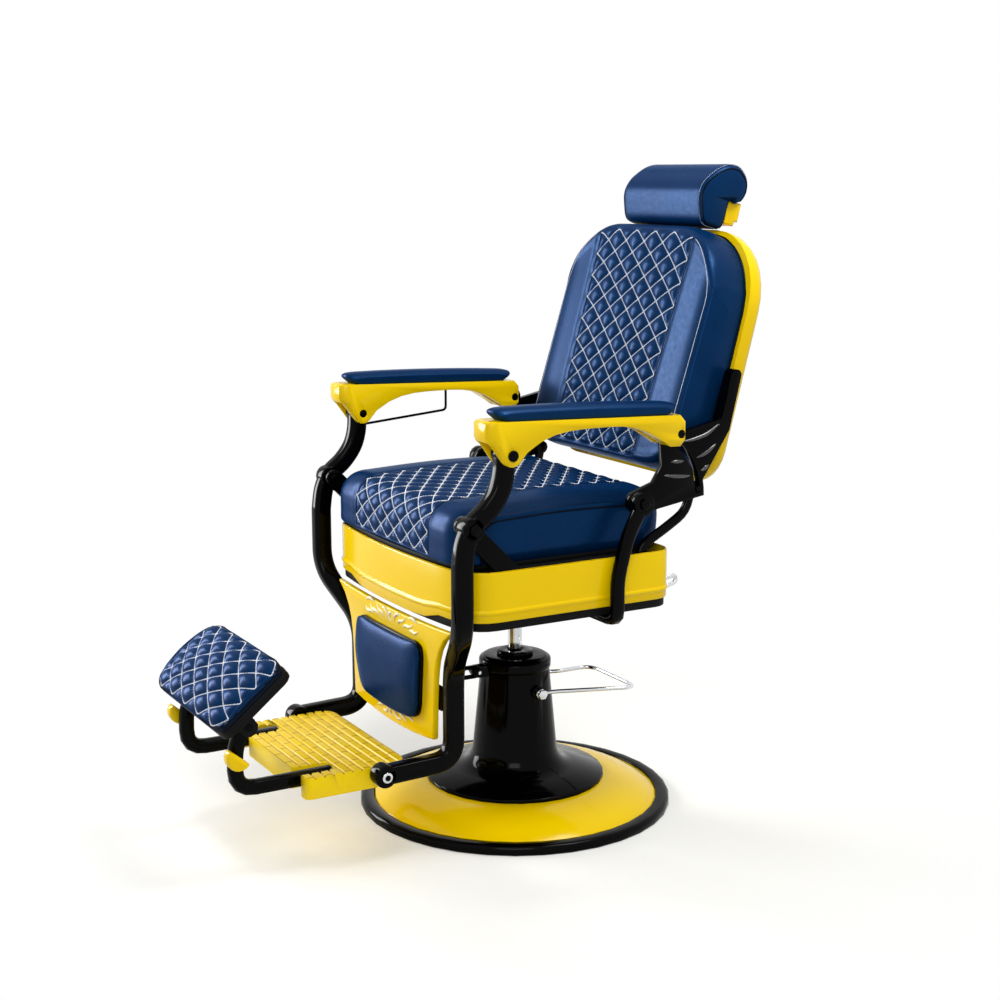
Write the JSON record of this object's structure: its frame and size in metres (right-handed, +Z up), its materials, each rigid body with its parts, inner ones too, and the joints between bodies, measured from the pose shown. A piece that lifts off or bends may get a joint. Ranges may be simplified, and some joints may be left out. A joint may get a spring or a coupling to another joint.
{
  "type": "barber chair",
  "caption": "Barber chair on a hydraulic pump base, with a quilted seat, a reclining back linked to its armrests and leg rest, a sliding headrest and a folding foot platform.",
  "frame": {"origin": "middle of the base's underside, on the floor", "axes": "+Z up, the sitter faces -Y, and the sitter's left is +X"},
  "size_m": [0.6788, 1.1354, 1.2503],
  "materials": {
    "yellow_enamel": "gloss",
    "yellow_moulding": "gloss",
    "black_enamel": "gloss",
    "black_moulding": "gloss",
    "chrome": "polished",
    "bare_steel": "machined",
    "navy_leather": "satin",
    "black_board": "painted black"
  },
  "bodies": {
    "base": {"base_plate": "bare_steel", "base_cover": "yellow_enamel", "base_rim_ring": "black_moulding", "pump_column": "black_enamel", "hydraulic_cylinder": "bare_steel", "rod_gland": "black_enamel", "pedal_pivot_left": "chrome", "pedal_pivot_right": "chrome", "swivel_lock_pin": "chrome"},
    "pedal": {"pump_pedal": "chrome"},
    "lock_lever": {"swivel_lock_lever": "black_enamel"},
    "piston": {"piston_rod": "chrome", "swivel_bearing": "bare_steel"},
    "seat": {"seat_socket": "black_enamel", "seat_frame": "black_board", "seat_apron": "yellow_enamel", "seat_board": "black_board", "seat_cushion": "navy_leather", "front_hanger_left": "black_enamel", "front_hanger_right": "black_enamel", "rear_post_left": "black_enamel", "rear_post_right": "black_enamel", "rear_stay_left": "black_enamel", "rear_stay_right": "black_enamel", "knuckle_pin_left": "black_enamel", "knuckle_pin_right": "black_enamel", "back_pivot_pin_left": "black_enamel", "back_pivot_pin_right": "black_enamel", "recline_lever_bracket": "black_enamel"},
    "recline_handle": {"recline_lever": "chrome"},
    "leg_rest": {"leg_frame_left": "black_enamel", "leg_frame_right": "black_enamel", "leg_cross_bar": "black_enamel", "calf_panel": "yellow_enamel", "calf_pad_board": "black_board", "calf_pad": "navy_leather", "platform_bolt_left": "chrome", "platform_bolt_right": "chrome"},
    "platform": {"foot_platform": "yellow_moulding", "pad_arm_left": "black_enamel", "pad_arm_right": "black_enamel", "hinge_cap_left": "yellow_enamel", "hinge_cap_right": "yellow_enamel"},
    "foot_pad": {"foot_pad_board": "black_board", "foot_pad_cushion": "navy_leather"},
    "back": {"back_shell": "yellow_moulding", "back_cushion": "navy_leather", "back_bracket_left": "black_enamel", "back_bracket_right": "black_enamel", "headrest_guide": "black_moulding"},
    "arm_left": {"armrest_left": "yellow_moulding", "arm_pad_left": "navy_leather", "lug_bolt_left": "black_enamel"},
    "arm_right": {"armrest_right": "yellow_moulding", "arm_pad_right": "navy_leather", "lug_bolt_right": "black_enamel", "towel_bar": "black_enamel"},
    "headrest": {"headrest_bar": "chrome", "headrest_bracket": "yellow_enamel", "headrest_cushion": "navy_leather"}
  },
  "joints": [
    {"name": "lift", "type": "slide", "parent": "base", "child": "piston", "axis": [0, 0, 1], "range_m": [-0.07, 0.08]},
    {"name": "swivel", "type": "hinge", "parent": "piston", "child": "seat", "pos_m": [0, 0, 0.39], "axis": [0, 0, 1], "continuous": true},
    {"name": "pedal_press", "type": "hinge", "parent": "base", "child": "pedal", "pos_m": [0, 0.006, 0.237], "axis": [1, 0, 0], "range_deg": [-14, 0], "stiffness_Nm_per_rad": 6, "springref_deg": 6.88},
    {"name": "swivel_lock", "type": "hinge", "parent": "base", "child": "lock_lever", "pos_m": [0, -0.0872, 0.2735], "axis": [1, 0, 0], "range_deg": [-20, 0]},
    {"name": "recline", "type": "hinge", "parent": "seat", "child": "back", "pos_m": [0, 0.091, 0.643], "axis": [-1, 0, 0], "range_deg": [0, 38]},
    {"name": "leg_raise", "type": "hinge", "parent": "seat", "child": "leg_rest", "pos_m": [0, -0.263, 0.632], "axis": [-1, 0, 0], "range_deg": [0, 38]},
    {"name": "arm_left_level", "type": "hinge", "parent": "back", "child": "arm_left", "pos_m": [0.2988, 0.157, 0.769], "axis": [-1, 0, 0], "range_deg": [-38, 0]},
    {"name": "arm_right_level", "type": "hinge", "parent": "back", "child": "arm_right", "pos_m": [-0.2988, 0.157, 0.769], "axis": [-1, 0, 0], "range_deg": [-38, 0]},
    {"name": "recline_release", "type": "hinge", "parent": "seat", "child": "recline_handle", "pos_m": [0.15, 0.192, 0.4265], "axis": [1, 0, 0], "range_deg": [0, 10], "stiffness_Nm_per_rad": 2, "springref_deg": -8.59},
    {"name": "platform_fold", "type": "hinge", "parent": "leg_rest", "child": "platform", "pos_m": [0, -0.386, 0.176], "axis": [-1, 0, 0], "range_deg": [0, 35]},
    {"name": "foot_pad_flip", "type": "hinge", "parent": "platform", "child": "foot_pad", "pos_m": [0, -0.62, 0.29], "axis": [-1, 0, 0], "range_deg": [0, 80]},
    {"name": "headrest_height", "type": "slide", "parent": "back", "child": "headrest", "axis": [0, 0.2588, 0.9659], "range_m": [0, 0.09]}
  ],
  "couplings": [
    {"joint": "leg_raise", "follows": "recline", "ratio": 1},
    {"joint": "arm_left_level", "follows": "recline", "ratio": -1},
    {"joint": "arm_right_level", "follows": "recline", "ratio": -1}
  ]
}
